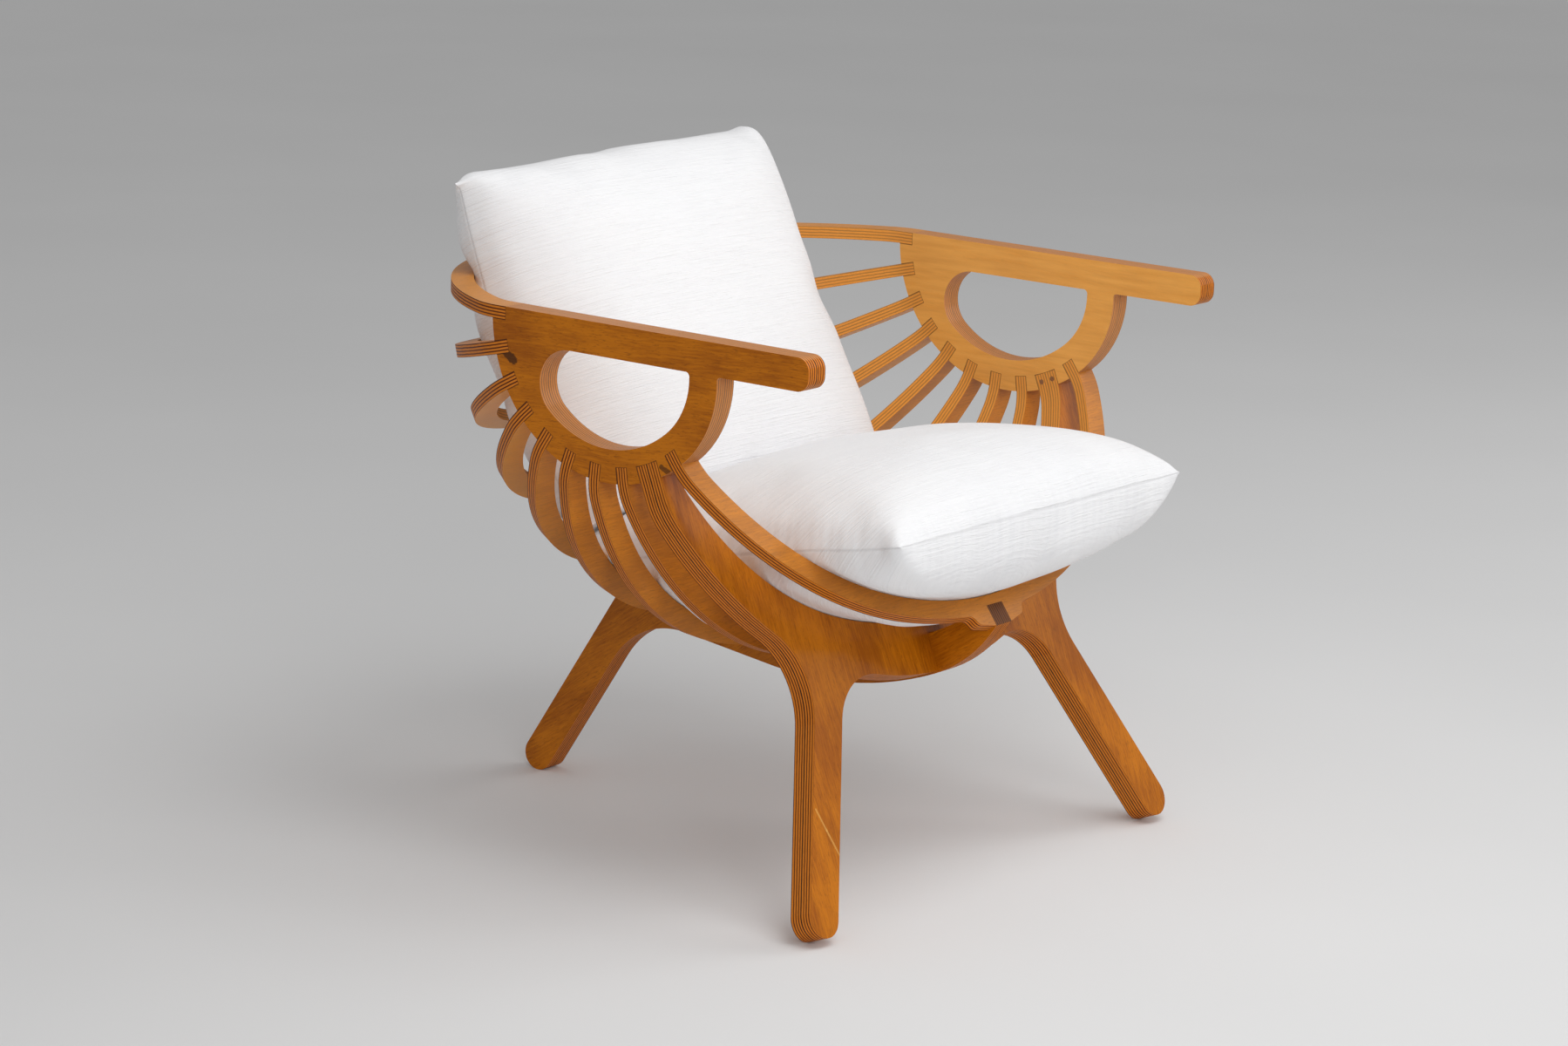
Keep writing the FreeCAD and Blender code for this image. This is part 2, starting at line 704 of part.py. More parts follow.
def arch(half, first, last, crown, side):
    """Ends and middles of three tangent arcs over a chord: a first end, a long crown and a last end."""
    first_x = -half + first
    last_x = half - last
    span = last_x - first_x
    near = crown - first
    far = crown - last
    x = first_x + (near ** 2 - far ** 2 + span ** 2) / (2 * span)
    y = -math.sqrt(near ** 2 - (x - first_x) ** 2)
    a = bearing((x, y), (first_x, 0))
    b = bearing((x, y), (last_x, 0))
    points = [(-half, 0.0)]
    points.append(polar((first_x, 0), first, (180 + a) / 2))
    points.append(polar((first_x, 0), first, a))
    points.append(polar((x, y), crown, (a + b) / 2))
    points.append(polar((last_x, 0), last, b))
    points.append(polar((last_x, 0), last, b / 2))
    points.append((half, 0.0))
    return [(u, side * v) for u, v in points]


def crown_for(half, rise, end):
    """The crown radius that gives a rise over a chord between two equal ends."""
    return (half ** 2 + rise ** 2 - 2 * half * end) / (2 * (rise - end))


def set_in(half, over, under, inset):
    """The upper and lower arch of an outline, both set in by the same distance."""
    rows = []
    for radii, side in ((over, 1), (under, -1)):
        first, crown, last = [radius - inset for radius in radii]
        rows.append(arch(half - inset, first, last, crown, side))
    return rows


def closed(over, under):
    """A closed outline of an upper and a lower row of arcs that share their ends."""
    outline = Outline(over[0])
    for i in (1, 3, 5):
        outline.arc(over[i], over[i + 1])
    for i in (5, 3, 1):
        outline.arc(under[i], under[i - 1])
    return outline


def side_outline(shape, inset):
    """The cushion seen from the side, bent along its chord and turned into place in the fan."""
    half = shape["half"] * bowl_depth
    bend = shape["bend"] * bowl_depth
    over, under = [[share * bowl_depth for share in shape[name]] for name in ("over", "under")]
    middle = [share * bowl_depth for share in shape["middle"]]
    along = turned(shape["tilt"])
    rows = []
    for points in set_in(half, over, under, inset):
        row = []
        for u, v in points:
            v = v + bend * (1 - (u / half) ** 2)
            y = middle[0] + u * along[0] - v * along[1]
            z = middle[1] + u * along[1] + v * along[0]
            row.append((y, z))
        rows.append(row)
    return closed(*rows)


def lens_cut(body, shape, inset, half, ends, spin):
    """Takes off what lies outside a lens across the cushion, turned about its own upright."""
    radii = []
    for name, end in zip(("over_side", "under_side"), ends):
        rise = shape[name][0] * bowl_depth
        radii.append((end, crown_for(half, rise, end), end))
    lift = shape["bend"] * bowl_depth * 0.6
    rows = set_in(half, radii[0], radii[1], inset)
    lens = closed(*[[(u, v + lift) for u, v in row] for row in rows])
    place = V(0, *[share * bowl_depth for share in shape["middle"]])
    turn = FreeCAD.Rotation(V(1, 0, 0), shape["tilt"] + 90) * FreeCAD.Rotation(V(0, 1, 0), spin)
    sketch = sketch_on(body, "XY_Plane", "Lens", lens, turn, at=place)
    far = d.half_width + half
    block = Outline((-far, lift - far))
    block.line((far, lift - far)).line((far, lift + far)).line((-far, lift + far)).close()
    block.draw(sketch)
    pocket(body, sketch, "4 * Dims.half_width")


def thin_sides(body, shape, inset):
    """Narrows the cushion to a rounded edge at its two sides, and more so to its four corners."""
    ends = [shape[name][1] * bowl_depth for name in ("over_side", "under_side")]
    lens_cut(body, shape, inset, cushion_half, ends, 0)
    length = shape["half"] * bowl_depth
    corner = math.degrees(math.atan2(cushion_half, length))
    reach = 2 * cushion_half * length / math.hypot(cushion_half, length)
    tight = [CORNER_END * bowl_depth] * 2
    lens_cut(body, shape, inset, reach, tight, 90 - corner)
    lens_cut(body, shape, inset, reach, tight, corner - 90)


def bowl_cut(body, edge, gap, steps, length, lift=0.0):
    """Cuts off what is outside a hoop's inner edge, straight across the hoop for a length."""
    side = edge.side - gap
    bottom = edge.bottom - gap
    reach = (cushion_half + inner_half) / 2
    start = math.degrees(math.acos((reach - edge.side_at[0]) / side))
    far = edge.depth + d.panel_outer
    outline = Outline((reach, far))
    outline.about(edge.side_at, side, start, edge.meet)
    outline.about(edge.bottom_at, bottom, edge.meet, 180 - edge.meet)
    left = (-edge.side_at[0], edge.side_at[1])
    outline.about(left, side, 180 - edge.meet, 180 - start)
    outline.line((-reach, far)).close()
    turn = FreeCAD.Rotation(V(1, 0, 0), -d.fan_step * steps)
    ring = sketch_on(body, "XY_Plane", "OutsideBowl", outline, turn, lift)
    return pocket(body, ring, length, False)


def press_cut(body, inset, keep):
    """Cuts off what is past the plane where the two cushions press together."""
    gap = d.cushion_gap / 2 + inset
    along = turned(PRESS_TILT)
    across = (-along[1] * keep, along[0] * keep)
    start = [place * bowl_depth + way * gap for place, way in zip(PRESS_POINT, across)]
    long = 2 * cushion_half
    a = (start[0] - along[0] * long, start[1] - along[1] * long)
    b = (start[0] + along[0] * long, start[1] + along[1] * long)
    deep = (-across[0] * long, -across[1] * long)
    wall = Outline(a)
    wall.line(b).line((b[0] + deep[0], b[1] + deep[1])).line((a[0] + deep[0], a[1] + deep[1])).close()
    pocket(body, sketch_on(body, "YZ_Plane", "PressedFace", wall), "2 * Dims.half_width")


def cushion_solid(label, kind, inset, bulge=0.0):
    body = part_body(label)
    shape = CUSHIONS[kind]
    outline = side_outline(shape, inset)
    width = "2 * (Dims.half_width - Dims.panel_thick) - Dims.cushion_side_room"
    pad(body, sketch_on(body, "YZ_Plane", "SideOutline", outline), width)
    thin_sides(body, shape, inset)
    gap = d.cushion_gap + inset
    # the cover bulges a little between the hoops, and past the first and last it hangs free
    share = "0.3 * Dims.hoop_depth"
    end_share = "0.15 * Dims.hoop_depth + Dims.rib_thick / 2 + %.3f" % gap
    lift = 0.075 * d.hoop_depth - d.rib_thick / 4 - gap / 2
    first, last = (d.rib_count - 3, front_steps) if kind == "seat" else (1, 0)
    count = "(Dims.rib_count - 2)"
    fan_of(body, bowl_cut(body, bowl_edge, gap - bulge, first, share), count, False)
    if bulge:
        near = "3 * Dims.rib_thick"
        fan_of(body, bowl_cut(body, bowl_edge, gap, first, near), count, False)
    if kind == "seat":
        bowl_cut(body, bowl_edge, gap, last, end_share, lift)
        # the leg frame stands a little further into the bowl than the ribs
        wide = "Dims.double_thick + 2 * Dims.rib_thick"
        bowl_cut(body, leg_bowl_edge, gap, leg_steps, wide)
        press_cut(body, inset, -1)
    else:
        bowl_cut(body, bowl_edge, gap, last, end_share, -lift)
        press_cut(body, inset, 1)
    return body


def cushion(kind):
    """A cover with real cloth thickness, closed all round, and the pad inside it."""
    whole = cushion_solid(kind + "_whole", kind, 0.0, BULGE)
    room = cushion_solid(kind + "_room", kind, d.cloth_thick)
    pad_body = cushion_solid(kind + "_cushion_pad", kind, d.cloth_thick + d.pad_gap)
    cover = doc.addObject("Part::Cut", kind + "_cushion_cover")
    cover.Label = kind + "_cushion_cover"
    cover.Base = whole
    cover.Tool = room
    parts.append(cover)
    parts.append(pad_body)


cushion("seat")
cushion("back")
doc.recompute()

# Checks on every object, then one file for each sub-part
faults = []
for thing in doc.Objects:
    if "Invalid" in thing.State or "Error" in thing.State:
        faults.append("%s %s" % (thing.Label, thing.State))
for thing in parts:
    if thing.Shape.isNull() or not thing.Shape.isValid():
        faults.append("%s has no valid shape" % thing.Label)
if faults:
    raise RuntimeError("; ".join(faults))
os.makedirs("parts", exist_ok=True)
for thing in parts:
    thing.Shape.exportStep("parts/%s.step" % thing.Label)
    box = thing.Shape.BoundBox
    low = (round(box.XMin, 1), round(box.YMin, 1), round(box.ZMin, 1))
    high = (round(box.XMax, 1), round(box.YMax, 1), round(box.ZMax, 1))
    print(thing.Label, len(thing.Shape.Solids), round(thing.Shape.Volume), low, high)
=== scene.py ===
import math

import bpy
import numpy as np
from mathutils import Matrix, Vector


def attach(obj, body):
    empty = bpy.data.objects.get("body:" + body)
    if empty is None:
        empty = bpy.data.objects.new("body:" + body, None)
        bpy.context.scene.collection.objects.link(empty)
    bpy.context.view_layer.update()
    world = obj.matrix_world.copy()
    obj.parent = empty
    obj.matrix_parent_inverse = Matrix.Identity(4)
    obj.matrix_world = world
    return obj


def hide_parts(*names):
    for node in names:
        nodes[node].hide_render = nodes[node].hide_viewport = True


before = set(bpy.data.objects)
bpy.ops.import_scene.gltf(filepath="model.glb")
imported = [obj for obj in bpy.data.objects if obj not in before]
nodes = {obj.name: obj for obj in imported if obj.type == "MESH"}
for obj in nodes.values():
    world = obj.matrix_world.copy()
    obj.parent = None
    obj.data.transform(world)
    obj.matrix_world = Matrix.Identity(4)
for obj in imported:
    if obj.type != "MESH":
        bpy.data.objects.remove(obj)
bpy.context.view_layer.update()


# Side panels
# Two D-shaped boards with the arm, a hand hole and nine slots, each cut from two bonded
# sheets of birch plywood and stained amber: veneer on the faces, plies on every cut edge.
FAN_AXIS = Vector((0.0, -0.0656, 0.622))
FAN_STEP = 14.0
LEG_STEP = 8
FRONT_STEP = 9
SLOT_BOTTOM = 0.1425
SLOTTED_FROM = -5
SLOTTED_TO = 131
JOINT_LINE = (0.0002, 0.0007)
PANEL_MIDDLE = 0.361
PANEL_FACE = 0.375
ARM_UNDERSIDE = (0.590, 0.603)

PLY_BOARD = 0.014
PLY_PITCH = PLY_BOARD / 4
PLY_WAVER = 0.0007
GLUE_HALF = (0.0003, 0.0010)
WOOD_RELIEF = 0.00035
SATIN = {"Specular IOR Level": 0.12, "Coat Weight": 0.12, "Coat Roughness": 0.18}

VENEER_LIGHT = (0.570, 0.174, 0.003, 1)
VENEER_DEEP = (0.340, 0.087, 0.001, 1)
VENEER_FLECK = (0.120, 0.028, 0.001, 1)
# the paler veneer of painted light, where more light falls or bounces from the cushions
VENEER_PAINTED_LIGHT = (0.880, 0.425, 0.095, 1)
PLY_LIGHT = (0.690, 0.205, 0.014, 1)
PLY_DARK = (0.100, 0.018, 0.001, 1)
# the paler plies of painted light, on cut edges where more light falls
PLY_PAINTED_LIGHT = (0.610, 0.320, 0.140, 1)
STAIN = (0.060, 0.018, 0.003, 1)
FILLER = (0.860, 0.520, 0.140, 1)
GLUE_LINE = (0.030, 0.010, 0.004, 1)


class Wire:
    """A socket in a material's node tree, so that shader sums read as plain expressions."""

    def __init__(self, tree, socket=None):
        self.tree = tree
        self.socket = socket

    def node(self, kind, settings=None, sockets=None, out=0):
        """Adds a node: its settings first, then the values or links of its sockets."""
        made = self.tree.nodes.new(kind)
        for name, value in (settings or {}).items():
            setattr(made, name, value)
        for name, value in (sockets or {}).items():
            if isinstance(value, Wire):
                self.tree.links.new(value.socket, made.inputs[name])
            else:
                made.inputs[name].default_value = value
        return Wire(self.tree, made.outputs[out] if made.outputs else None)

    def sum_of(self, operation, *values):
        return self.node("ShaderNodeMath", {"operation": operation}, dict(enumerate(values)))

    def __add__(self, other):
        return self.sum_of("ADD", self, other)

    def __sub__(self, other):
        return self.sum_of("SUBTRACT", self, other)

    def __rsub__(self, other):
        return self.sum_of("SUBTRACT", other, self)

    def __mul__(self, other):
        return self.sum_of("MULTIPLY", self, other)

    def __truediv__(self, other):
        return self.sum_of("DIVIDE", self, other)

    def __mod__(self, other):
        return self.sum_of("FLOORED_MODULO", self, other)

    def __abs__(self):
        return self.sum_of("ABSOLUTE", self)

    def __lt__(self, other):
        return self.sum_of("LESS_THAN", self, other)

    def __gt__(self, other):
        return self.sum_of("GREATER_THAN", self, other)

    __radd__ = __add__
    __rmul__ = __mul__


AXES = (Vector((1, 0, 0)), Vector((0, 1, 0)), Vector((0, 0, 1)))
ACROSS, REARWARD, UP = AXES


def dot(wire, direction):
    """How far a vector reaches along a fixed direction."""
    sockets = {0: wire, 1: tuple(direction)}
    return wire.node("ShaderNodeVectorMath", {"operation": "DOT_PRODUCT"}, sockets, "Value")


def steps(value, low, high):
    """0 below low, 1 above high, and a soft step between."""
    sockets = {"Value": value, "From Min": low, "From Max": high}
    return value.node("ShaderNodeMapRange", {"interpolation_type": "SMOOTHSTEP"}, sockets)


def tinted(factor, first, second):
    """One colour turning into another."""
    sockets = {0: factor, 6: first, 7: second}
    return factor.node("ShaderNodeMix", {"data_type": "RGBA"}, sockets, 2)


def noise(x, y, z, detail=2.0, rough=0.5):
    """Noise from three scaled coordinates, about 0.5."""
    place = y.node("ShaderNodeCombineXYZ", {}, {0: x, 1: y, 2: z})
    sockets = {"Vector": place, "Scale": 1.0, "Detail": detail, "Roughness": rough}
    return place.node("ShaderNodeTexNoise", {}, sockets)


def material_for(name):
    """A new material with an empty node tree, and a wire to start it from."""
    material = bpy.data.materials.new(name)
    material.use_nodes = True
    material.node_tree.nodes.clear()
    return material, Wire(material.node_tree)


def surface(wire, colour, rough, height, depth, constants=None):
    """Finishes a material with a principled surface and a bump of a real depth in metres."""
    sockets = {"Strength": 1.0, "Distance": depth, "Height": height}
    bump = wire.node("ShaderNodeBump", {}, sockets)
    sockets = {"Base Color": colour, "Roughness": rough, "Normal": bump}
    sockets.update(constants or {})
    shader = wire.node("ShaderNodeBsdfPrincipled", {}, sockets)
    wire.node("ShaderNodeOutputMaterial", {}, {"Surface": shader})


def slot_marks(place):
    """1 on the thin dark joint lines round the hoops' ends in a panel's faces."""
    y = dot(place, REARWARD) - FAN_AXIS.y
    z = dot(place, UP) - FAN_AXIS.z
    reach = y.sum_of("SQRT", y * y + z * z)
    angle = y.sum_of("ARCTAN2", 0 - z, y) * math.degrees(1)
    turn = (angle + FAN_STEP / 2) % FAN_STEP - FAN_STEP / 2
    off = abs(reach * (turn * math.radians(1)))
    # the leg frame is two boards thick
    double = (angle > (LEG_STEP - 0.5) * FAN_STEP) * (angle < (LEG_STEP + 0.5) * FAN_STEP)
    half = PLY_BOARD / 2 + double * (PLY_BOARD / 2)
    wall = 1 - steps(abs(off - half - JOINT_LINE[0]), *JOINT_LINE)
    wall = wall * (reach > SLOT_BOTTOM - 0.0003)
    floor = 1 - steps(abs(reach - SLOT_BOTTOM), *JOINT_LINE)
    floor = floor * (off < half + 2 * JOINT_LINE[0])
    inside = (angle > SLOTTED_FROM) * (angle < SLOTTED_TO)
    return wall.sum_of("MAXIMUM", wall, floor) * inside


def stroke(start, end, width):
    """A mark that is 1 along a short straight stroke and ragged at its rim."""
    start = Vector(start)
    run = Vector(end) - start

    def mark(place):
        share = (dot(place, run) - start.dot(run)) / run.length_squared
        share = share.node("ShaderNodeClamp", {}, {"Value": share})
        off = [dot(place, axis) - start[k] - share * run[k] for k, axis in enumerate(AXES)]
        far = place.sum_of("SQRT", off[0] * off[0] + off[1] * off[1] + off[2] * off[2])
        ragged = noise(*[dot(place, axis) * 260 for axis in AXES]) - 0.5
        return 1 - steps(far / width + ragged, 0.7, 1.0)

    return mark


def lit_edges(place):
    """1 on a panel's cut edges below the arm and on its top, where painted light makes the
    plies paler.
    """
    facing = place.node("ShaderNodeNewGeometry", out="Normal")
    under = 1 - steps(dot(place, UP), *ARM_UNDERSIDE)
    return under.sum_of("MAXIMUM", under, steps(dot(facing, UP), 0.7, 0.9))


def lit_inner_face(side):
    """A mark that is 1 on a panel's inner face, made paler than the outer one with painted
    light: the bounce from the white cushions and the satin sheen.
    """

    def mark(place):
        facing = place.node("ShaderNodeNewGeometry", out="Normal")
        y, z = dot(place, REARWARD), dot(place, UP)
        streak = noise(side, y * 11, z * 150, 3.0)
        cloud = noise(side, y * 9, z * 14)
        patchy = (streak + cloud * 0.7) * 0.8 + 0.32
        return steps(dot(facing, ACROSS * -side), 0.5, 0.8) * patchy

    return mark


def plywood(name, normal, centre, grain, shift, boards=1, marks=()):
    """Stained birch plywood: veneer where it faces along its normal, plies where it is cut.

    The shift moves the figure of the wood, so that no two pieces are alike. Each mark is a
    mask, a tint, a strength, and the part it is on: "face", "edge" or "both".
    """
    material, wire = material_for(name)
    place = wire.node("ShaderNodeTexCoord", out="Object")
    facing = wire.node("ShaderNodeNewGeometry", out="Normal")
    normal = Vector(normal).normalized()
    grain = Vector(grain).normalized()
    depth = dot(place, normal) - Vector(centre).dot(normal)
    along = dot(place, grain) + shift
    across = dot(place, normal.cross(grain)) + 0.37 * shift
    # face veneer: slow clouds, fine short streaks and darker flecks along the grain, each
    # noise with so many waves in a metre
    cloud = noise(along * 8, across * 13, depth * 9, 3.0, 0.55)
    drift = noise(along * 5, across * 5, depth * 5, 2.0)
    streak = noise(along * 34, (across + drift * 0.02) * 420, depth * 420, 3.0, 0.65)
    flame = noise(along * 4, (across + drift * 0.05) * 70, depth * 70, 2.0)
    fleck = steps(noise(along * 150, across * 900, depth * 900, 2.0), 0.57, 0.70)
    tone = cloud * 0.8 + streak * 0.60 + flame * 0.30 - 0.35
    veneer = tinted(steps(tone, 0.28, 0.70), VENEER_DEEP, VENEER_LIGHT)
    veneer = tinted(fleck * 0.40, veneer, VENEER_FLECK)
    # cut edge: light long plies and dark end-grain plies, with a wavering line between them
    waver = noise(along * 60, across * 60, depth * 60, 2.0) * PLY_WAVER
    ply = abs((depth + waver) / PLY_PITCH % 1.0 - 0.5) * 2
    dark = steps(ply, 0.44, 0.74)
    pores = noise(along * 150, across * 150, depth * 1500, 2.0)
    band = noise(along * 9, across * 9, depth * 300, 1.0)
    edge = tinted(dark * (0.50 + band), PLY_LIGHT, PLY_DARK)
    edge = tinted(steps(pores, 0.48, 0.72) * 0.30, edge, PLY_DARK)
    if boards == 2:
        edge = tinted(1 - steps(abs(depth), *GLUE_HALF), edge, GLUE_LINE)
    face = steps(abs(dot(facing, normal)), 0.60, 0.80)
    colour = tinted(face, edge, veneer)
    for mark, tint, strength, where in marks:
        part = {"face": face, "edge": 1 - face, "both": 1.0}[where]
        colour = tinted(mark(place) * part * strength, colour, tint)
    rough = 0.36 + streak * 0.16 + (1 - face) * 0.16
    height = face * streak * 0.6 + (1 - face) * (0.5 * pores - dark * 0.35)
    surface(wire, colour, rough, height, WOOD_RELIEF, SATIN)
    return material


def dress(node, material):
    """Gives a carried-over solid its material."""
    for slot in nodes[node].material_slots:
        slot.material = material


# on the left panel's outer face a patch of stain ran out under a slot, and a smaller one
# beside the leg frame
SLOT_SPILL = stroke((-PANEL_FACE, 0.077, 0.581), (-PANEL_FACE, 0.064, 0.573), 0.0055)
LEG_SPILL = stroke((-PANEL_FACE, -0.139, 0.490), (-PANEL_FACE, -0.151, 0.485), 0.0035)
SPILLS = [(SLOT_SPILL, STAIN, 0.85, "face"), (LEG_SPILL, STAIN, 0.75, "face")]
for side, name in ((-1, "side_panel_left"), (1, "side_panel_right")):
    marks = [
        # painted light: the inner face is made paler for the bounce from the white cushions and
        # the satin sheen
        (lit_inner_face(side), VENEER_PAINTED_LIGHT, 0.70, "face"),
        # painted light: cut edges under the arm and on top are made paler
        (lit_edges, PLY_PAINTED_LIGHT, 0.45, "edge"),
        (slot_marks, GLUE_LINE, 0.85, "face"),
    ]
    marks += SPILLS if side < 0 else []
    centre = ACROSS * side * PANEL_MIDDLE
    grain = (0, 1, 0.04 * side)
    dress(name, plywood(name, ACROSS, centre, grain, 3.1 * side, 2, marks))


# Top rail, ribs and front rib
# Nine flat hoops of 14 mm plywood, cut to a U and fanned about one axis, each let into
# its slots so that its plies show on the outer faces of the panels.
def hoop_normal(step):
    """The way a hoop's board faces, a number of steps round the fan."""
    angle = math.radians(FAN_STEP * step)
    return Vector((0, math.sin(angle), math.cos(angle)))


def lit_bowl_edge(place):
    """1 on a hoop's inner cut edge, which faces the fan's axis, where painted light makes the
    plies paler.
    """
    facing = place.node("ShaderNodeNewGeometry", out="Normal")
    x, y, z = [dot(facing, axis) * (dot(place, axis) - FAN_AXIS.dot(axis)) for axis in AXES]
    return 1 - steps(x + y + z, -0.06, 0.04)


def evenly(place):
    """A mark that covers a whole piece."""
    return 1.0


# painted light: the hoops' inner edges, facing into the bowl, are made paler
BOWL_LIGHT = (lit_bowl_edge, VENEER_PAINTED_LIGHT, 0.42, "edge")
RIB_NAMES = ["top_rail"] + ["rib_%d" % k for k in range(1, 8)]
# how much painted light makes each hoop's faces paler, for the light that falls on each, the
# top rail's first
RIB_PAINTED_LIGHT = (0.35, 0.30, 0.65, 0.55, 0.30, 0.20, 0.20, 0.15)
# painted light: the front rib's faces are made a little paler
FRONT_PAINTED_LIGHT = 0.2
for step, name in enumerate(RIB_NAMES):
    painted_light = [BOWL_LIGHT, (evenly, VENEER_PAINTED_LIGHT, RIB_PAINTED_LIGHT[step], "face")]
    shift = 0.83 * step + 11
    dress(name, plywood(name, hoop_normal(step), FAN_AXIS, ACROSS, shift, marks=painted_light))

front_normal = hoop_normal(FRONT_STEP)
painted_light = [BOWL_LIGHT, (evenly, VENEER_PAINTED_LIGHT, FRONT_PAINTED_LIGHT, "face")]
dress("front_rib", plywood("front_rib", front_normal, FAN_AXIS, ACROSS, 23.7, marks=painted_light))


# Leg frame
# A double hoop of two bonded 14 mm sheets whose shoulders run out into the front legs.
# The veneer's grain runs down the legs, and both ends are let into the panels.
leg_normal = hoop_normal(LEG_STEP)
leg_grain = leg_normal.cross(ACROSS)
# filler in a crack of the left leg's veneer
CRACK = ((-0.277, -0.279, 0.132), (-0.269, -0.288, 0.109), (-0.258, -0.300, 0.078))
CRACK_HALF = 0.0014
crack = [(stroke(CRACK[k], CRACK[k + 1], CRACK_HALF), FILLER, 0.38, "face") for k in (0, 1)]
# painted light on the leg frame's inner edge, as on the hoops
crack.append(BOWL_LIGHT)
dress("leg_frame", plywood("leg_frame", leg_normal, FAN_AXIS, leg_grain, 7.9, 2, crack))


# Pins
# Four turned wooden pins in blind bores of the leg frame's ends, two in each, and flush with
# its inner side. Their end grain took more stain, so they are darker than the wood.
PIN_LIGHT = (0.300, 0.110, 0.025, 1)
PIN_DARK = (0.160, 0.055, 0.012, 1)
PIN_RELIEF = 0.0002


def pin_wood():
    """End grain with fine pores, a little deeper in colour than the plywood."""
    material, wire = material_for("pin_wood")
    place = wire.node("ShaderNodeTexCoord", out="Object")
    x, y, z = [dot(place, axis) for axis in AXES]
    rings = noise(x * 300, y * 1200, z * 1200, 2.0)
    colour = tinted(steps(rings, 0.35, 0.7), PIN_LIGHT, PIN_DARK)
    surface(wire, colour, 0.45 + rings * 0.1, rings, PIN_RELIEF)
    return material


dress("leg_frame_pins", pin_wood())


# Spine and rear leg
# One 28 mm board in the middle plane that hooks over every hoop and runs on into the
# single rear leg. Its end grain shows as a dark block in the front rib.
SPINE_GRAIN = (0, 0.8387, -0.5446)
# its mark fades out just behind the front rib's front face, 7 mm before the middle plane
END_FADE = (-0.0069, -0.0058)


def spine_end(place):
    """1 on the end grain that lies flush in the front rib's front face."""
    depth = dot(place, front_normal) - FAN_AXIS.dot(front_normal)
    return 1 - steps(depth, *END_FADE)


end_mark = [(spine_end, STAIN, 0.8, "both")]
spine_wood = plywood("spine_rear_leg", ACROSS, (0, 0, 0), SPINE_GRAIN, 5.3, 2, end_mark)
dress("spine_rear_leg", spine_wood)


# Seat cushion
# A loose cushion sewn from two panels of washed white linen over a soft filling. It is
# blown up from the two flat panels, pressed into the bowl of ribs and sags between them.
LINEN_LIGHT = (0.895, 0.895, 0.905, 1)
LINEN_SHADE = (0.865, 0.865, 0.880, 1)
# the grey of the painted shade in the seam's crease
LINEN_SEAM_SHADE = (0.470, 0.460, 0.470, 1)
LINEN_RELIEF = 0.0011
LINEN_GLOSS = {"Sheen Weight": 0.15, "Sheen Roughness": 0.5}
PUCKER_REACH = 0.045

# half of the sewn width, how square and how round both sides are, and where the corners start
CUSHION_HALF = 0.267
SIDE_FULL = 3.4
SIDE_POWER = 0.54
CORNER = (0.86, 1.0)

# the mesh's pitch, the simulation's steps, how much larger the flat panels are cut than the
# sewn outline, and half of their distance before they are blown up
CLOTH_STEP = 0.0066
CLOTH_TICKS = 20
CLOTH_SPARE = 1.07
CLOTH_APART = 0.0005
# rounds of averaging, and how much of its own place a point keeps in each
FOLD_EASE = (2, 0.5)
FORM_EASE = (60, 0.3)

# a hoop's inner edge: its depth in the middle, and the radius and the place of its side arc
RIB_BOWL = (0.381, 0.3439, 0.0315, 0.0319)
LEG_BOWL = (0.375, 0.3293, 0.0446, 0.0383)
BOWL_TURN = math.sin(math.radians(18.9))
# a cushion keeps off the wood by a hair, and sags from just beside a rib or the leg frame on
CLOSE_GAP = 0.0012
RIB_NEAR = 0.0085
LEG_NEAR = 0.0155
SAG_RUN = 0.026
# past the top rail and the front rib it may come away from the bowl by a share of the way
# gone: in front by the first share in the middle, by both at the sides, and by all of what
# lies past the belly's end
FREE_FROM = 0.0095
TOP_RISE = 3
FRONT_RISE = (0.35, 1.1)
BELLY_END = 0.045


def bowl_line(bowl, x):
    """How far out from the fan axis a hoop's inner edge lies, at a distance from the middle."""
    depth, side, side_x, side_y = bowl
    x = np.abs(x)
    bottom = side + side_x / BOWL_TURN
    flat = depth - bottom + np.sqrt(np.maximum(bottom ** 2 - x ** 2, 0))
    steep = side_y + np.sqrt(np.maximum(side ** 2 - (x - side_x) ** 2, 0))
    return np.where(x < bottom * BOWL_TURN, flat, steep)


def smooth(value, low, high):
    """0 below low, 1 above high, and a soft step between, on arrays."""
    t = np.clip((value - low) / (high - low), 0, 1)
    return t * t * (3 - 2 * t)


def farthest(x, reach, angle, sag, seed):
    """How far out from the fan axis cloth may lie, at its own place in the bowl."""
    hoop = np.clip(np.round(angle / FAN_STEP), 0, FRONT_STEP)
    off = np.abs(reach * np.radians(angle - hoop * FAN_STEP))
    is_leg = hoop == LEG_STEP
    edge = np.where(is_leg, bowl_line(LEG_BOWL, x), bowl_line(RIB_BOWL, x))
    near = np.where(is_leg, LEG_NEAR, RIB_NEAR)
    # between hoops the cloth bulges unevenly, from half to all of the sag
    wave = 0.75 + 0.25 * np.sin(x * 21 + hoop * 1.7 + seed)
    bulge = sag * wave * smooth(off, near, near + SAG_RUN)
    past = np.maximum(off - FREE_FROM, 0)
    bulge = np.where(angle < 0, bulge + past * TOP_RISE, bulge)
    rise = FRONT_RISE[0] + FRONT_RISE[1] * (x / CUSHION_HALF) ** 2
    belly = past * rise + np.maximum(past - BELLY_END, 0)
    bulge = np.where(angle > FRONT_STEP * FAN_STEP, belly, bulge)
    return edge - CLOSE_GAP + bulge


